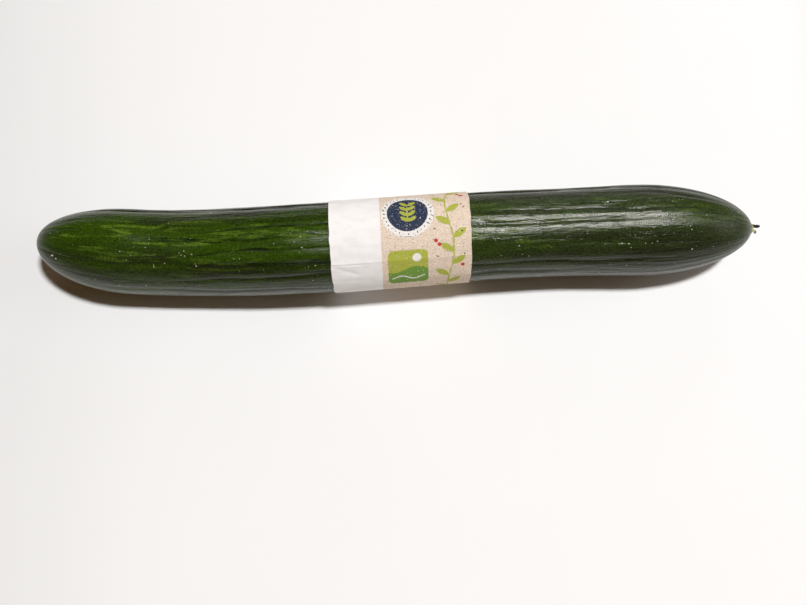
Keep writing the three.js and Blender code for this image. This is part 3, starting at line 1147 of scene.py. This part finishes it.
# Strands as (x, y, z, radius), from the middle of the pit's rim
STRANDS = [
    [(-0.6, 0, 0, 2.05), (0.1, 0, 0, 2.05), (0.5, 0, 0, 1.7), (0.7, 0, 0, 1.1)],
    [(0.2, 0.8, 0.15, 0.95), (1.7, 1.0, 0.3, 0.84), (3.4, 0.95, 0.25, 0.74), (4.7, 1.1, 0.1, 0.62)],
    [(0.2, -0.85, 0.05, 0.8), (1.4, -1.05, 0, 0.7), (2.4, -1.6, -0.25, 0.58), (2.35, -2.4, -0.6, 0.42)],
    [(0.1, 0.1, -0.9, 0.75), (0.8, 0.15, -1.15, 0.6), (1.35, 0.1, -1.3, 0.4)],
]
STRAND_SIDES = 20
STRAND_STEPS = 8
STRAND_SMOOTHING = 3
STRAND_UP = (0, 0.2, 1)
STALK_VOXEL = 0.09

# Fluted sides of a strand, as (number round it, height, turn from strand to strand), and its lumps
FLUTES = [(5, 0.13, 1.0), (9, 0.08, 2.3)]
LUMP_HEIGHT = 0.16
LUMP_RATE = 5.3
LUMP_START = 2

# How far from the pit the strands turn dark, and how much further out the hooked one does
DARK_FROM = 2.1
DARK_TO = 3.0
HOOK_LAG = 1.1
HOOK_Y = (PIT_CENTRE[1] - 1.9, PIT_CENTRE[1] - 0.5)
STALK_CREAM = (0.44, 0.43, 0.18)
STALK_PALE = (0.68, 0.66, 0.40)
STALK_BLACK = (0.006, 0.006, 0.002)
STALK_BROWN = (0.034, 0.031, 0.010)


def strand_rings(knots, seed):
    """Rings round a curve through the knots, fluted like a bundle of fibres."""
    knots = np.array(knots, float)
    share = np.linspace(0, len(knots) - 1, (len(knots) - 1) * STRAND_STEPS + 1)
    before = np.minimum(share.astype(int), len(knots) - 2)
    after = (share - before)[:, None]
    curve = knots[before] * (1 - after) + knots[before + 1] * after
    for _ in range(STRAND_SMOOTHING):
        curve[1:-1] = (curve[:-2] + 2 * curve[1:-1] + curve[2:]) / 4
    ahead = np.gradient(curve[:, :3], axis=0)
    ahead /= np.linalg.norm(ahead, axis=1, keepdims=True)
    side = np.cross(ahead, STRAND_UP)
    side /= np.linalg.norm(side, axis=1, keepdims=True)
    up = np.cross(side, ahead)
    turns = np.arange(STRAND_SIDES) * TURN / STRAND_SIDES
    flutes = 1
    for number, height, shift in FLUTES:
        flutes = flutes + height * np.sin(number * turns + shift * seed)
    lumps = 1 + LUMP_HEIGHT * np.sin(LUMP_RATE * share + LUMP_START + seed)
    upward = up[:, None] * np.cos(turns)[None, :, None]
    sideways = side[:, None] * np.sin(turns)[None, :, None]
    radius = curve[:, 3:] * lumps[:, None] * flutes
    rings = curve[:, None, :3] + (upward + sideways) * radius[..., None]
    return rings, curve[[0, -1], :3]


def stalk_paint():
    paint = Paint("torn_stalk")
    place = paint.position()

    # Dark towards the torn ends, and less so on the hooked strand
    y = paint.node("SeparateXYZ", {0: place}).outputs[1]
    on_hook = paint.span(y, *HOOK_Y, HOOK_LAG, 0)
    fibres = paint.noise(place, (1.6, 0.22, 0.22), 3, 0.6)
    fibre = paint.span(fibres, 0.35, 0.65)
    pale = paint.mix(fibre, STALK_CREAM, STALK_PALE)
    dark = paint.mix(fibre, STALK_BLACK, STALK_BROWN)
    beyond = paint.math("ADD", paint.away_from(place, PIT_CENTRE), paint.times(fibres, 1.6))
    beyond = paint.math("SUBTRACT", beyond, on_hook)
    colour = paint.mix(paint.span(beyond, DARK_FROM, DARK_TO), pale, dark)
    paint.set(Base_Color=colour, Roughness=paint.span(fibres, 0.3, 0.7, 0.6, 0.85))
    paint.set(Normal=paint.bump(fibres, 0.12), Specular_IOR_Level=0.2)
    return paint.material


def make_stalk():
    points, faces = [], []
    for seed, knots in enumerate(STRANDS):
        rings, ends = strand_rings(knots, seed)
        start = len(points)
        points.extend(rings.reshape(-1, 3))
        points.extend(ends)
        closed = closed_faces(len(rings), STRAND_SIDES)
        faces.extend(tuple(start + i for i in face) for face in closed)
    points = np.array(points) + PIT_CENTRE
    stalk = add_mesh("torn_stalk", points, faces, stalk_paint())
    joined = stalk.modifiers.new("join", "REMESH")
    joined.mode = "VOXEL"
    joined.voxel_size = STALK_VOXEL * MM
    joined.use_smooth_shade = True
    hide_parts("stalk_remnant")


# Stage, light and camera

IMAGE = (807, 605)
FOCAL_PIXELS = 972
SENSOR_WIDTH = 36
CLIP_START = 0.01
CAMERA_PLACE = (0.04, -144.83, 477.83)
CAMERA_ELEVATION = 76
CAMERA_YAW = -0.826

# Lights in metres and watts: the main one above, and two faint ones, past the stalk end and behind
KEY_PLACE = (1.31, 0.5, 5.0)
KEY_SIZE = (0.62, 0.46)
KEY_POWER = 262.0
SIDE_PLACE = (1.3, 0.1, 0.75)
SIDE_SIZE = (0.8, 0.8)
SIDE_POWER = 3.2
FAR_PLACE = (0.80, 2.60, 1.20)
FAR_SIZE = (0.4, 0.8)
FAR_POWER = 3.5

# Room, dim and warm, and paler near the horizon, up to a higher line on the viewer's side
HORIZON_COLOUR = (0.50, 0.435, 0.355)
ROOM_COLOUR = (0.080, 0.044, 0.018)
HORIZON_LEAN = 0.10
HORIZON_FROM = -0.039
HORIZON_TO = 0.121

# Board, with painted shade that darkens it towards the left, and greyer outside the camera's frame,
# which tones down what the edges of the skin reflect
FLOOR_SIZE = 12.0
BOARD_GREY = (0.865, 0.87, 0.875)
BOARD_WHITE = (0.885, 0.89, 0.895)
BOARD_LEFT_SHADE = (0.76, 0.77, 0.775)
BOARD_LEFT_SHADE_FADE = (-260, -90)
BOARD_OUTSIDE = (0.46, 0.45, 0.43)
BOARD_BEHIND_FADE = (150, 300)
BOARD_BESIDE_FADE = (205, 330)


def board_paint():
    paint = Paint("pale_board")
    place = paint.position()
    cloud = paint.noise(place, (90, 90, 90), 3)
    board = paint.mix(cloud, BOARD_GREY, BOARD_WHITE)
    split = paint.node("SeparateXYZ", {0: place})
    # Painted shade: the board darkens towards the left
    board = paint.mix(paint.span(split.outputs[0], *BOARD_LEFT_SHADE_FADE), BOARD_LEFT_SHADE, board)
    behind = paint.span(split.outputs[1], *BOARD_BEHIND_FADE)
    beside = paint.span(paint.math("ABSOLUTE", split.outputs[0]), *BOARD_BESIDE_FADE)
    board = paint.mix(paint.math("MAXIMUM", behind, beside), board, BOARD_OUTSIDE)
    paint.set(Base_Color=board, Roughness=0.75, Specular_IOR_Level=0.2)
    return paint.material


def make_floor():
    half = FLOOR_SIZE / 2
    mesh = bpy.data.meshes.new("floor")
    corners = [(-half, -half, 0), (half, -half, 0), (half, half, 0), (-half, half, 0)]
    mesh.from_pydata(corners, [], [(0, 1, 2, 3)])
    floor = bpy.data.objects.new("floor", mesh)
    bpy.context.scene.collection.objects.link(floor)
    mesh.materials.append(board_paint())


def add_light(name, place, size, power):
    """A rectangle of light that faces the frame's origin."""
    light = bpy.data.lights.new(name, "AREA")
    light.shape = "RECTANGLE"
    light.size, light.size_y = size
    light.energy = power
    lamp = bpy.data.objects.new(name, light)
    bpy.context.scene.collection.objects.link(lamp)
    lamp.location = place
    x, y, z = place
    lamp.rotation_euler = (-math.asin(y / math.dist(place, (0, 0, 0))), math.atan2(x, z), 0)


def make_lights():
    add_light("key", KEY_PLACE, KEY_SIZE, KEY_POWER)
    add_light("side", SIDE_PLACE, SIDE_SIZE, SIDE_POWER)
    add_light("far", FAR_PLACE, FAR_SIZE, FAR_POWER)


def make_room():
    world = bpy.data.worlds.new("room")
    world.use_nodes = True
    bpy.context.scene.world = world
    nodes, links = world.node_tree.nodes, world.node_tree.links
    way = nodes.new("ShaderNodeTexCoord").outputs["Generated"]
    height = nodes.new("ShaderNodeVectorMath")
    height.operation = "DOT_PRODUCT"
    height.inputs[1].default_value = (0, HORIZON_LEAN, 1)
    links.new(way, height.inputs[0])
    above = nodes.new("ShaderNodeMapRange")
    above.inputs[1].default_value = HORIZON_FROM
    above.inputs[2].default_value = HORIZON_TO
    links.new(height.outputs["Value"], above.inputs["Value"])
    fade = nodes.new("ShaderNodeValToRGB")
    links.new(above.outputs[0], fade.inputs[0])
    fade.color_ramp.elements[0].color = (*HORIZON_COLOUR, 1)
    fade.color_ramp.elements[1].color = (*ROOM_COLOUR, 1)
    background = nodes["Background"]
    links.new(fade.outputs["Color"], background.inputs["Color"])
    background.inputs["Strength"].default_value = 1.0


def make_camera():
    camera = bpy.data.objects.new("camera", bpy.data.cameras.new("camera"))
    bpy.context.scene.collection.objects.link(camera)
    camera.data.sensor_width = SENSOR_WIDTH
    camera.data.lens = FOCAL_PIXELS * SENSOR_WIDTH / IMAGE[0]
    camera.data.clip_start = CLIP_START
    camera.location = Vector(CAMERA_PLACE) * MM
    camera.rotation_euler = (math.radians(90 - CAMERA_ELEVATION), 0, math.radians(CAMERA_YAW))
    bpy.context.scene.camera = camera
    bpy.context.scene.view_settings.view_transform = "Standard"


make_camera()
make_fruit()
make_scars()
make_nicks()
make_sleeve()
make_stalk()
make_floor()
make_lights()
make_room()
